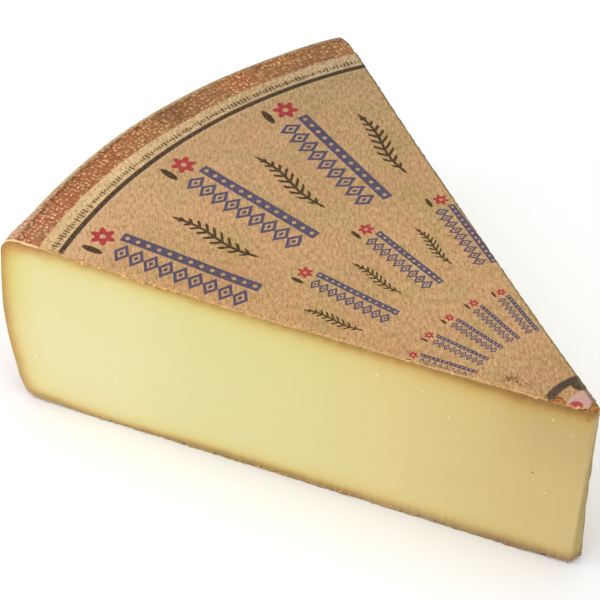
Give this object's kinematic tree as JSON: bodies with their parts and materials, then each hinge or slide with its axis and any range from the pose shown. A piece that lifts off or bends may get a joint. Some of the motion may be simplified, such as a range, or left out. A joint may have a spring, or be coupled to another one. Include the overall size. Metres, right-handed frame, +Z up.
{
  "type": "hard cheese wedge",
  "caption": "Wedge of hard mountain cheese cut from a round wheel, lying flat, with rind at its heel, base and top and a printed paper label on top.",
  "frame": {"origin": "middle of the bounding box, at the base", "axes": "+X from the heel towards the point, +Y across the wedge, away from the near cut, +Z up"},
  "size_m": [0.2945, 0.2298, 0.1005],
  "materials": {
    "cheese": "smooth knife-cut paste, pale yellow, darker towards a red-brown cloth-marked rind",
    "label": "matt tan paper with a cloth-like relief and a print in slate blue, red and dark brown"
  },
  "bodies": {
    "root": {"cheese": "cheese", "label": "label"}
  },
  "joints": []
}
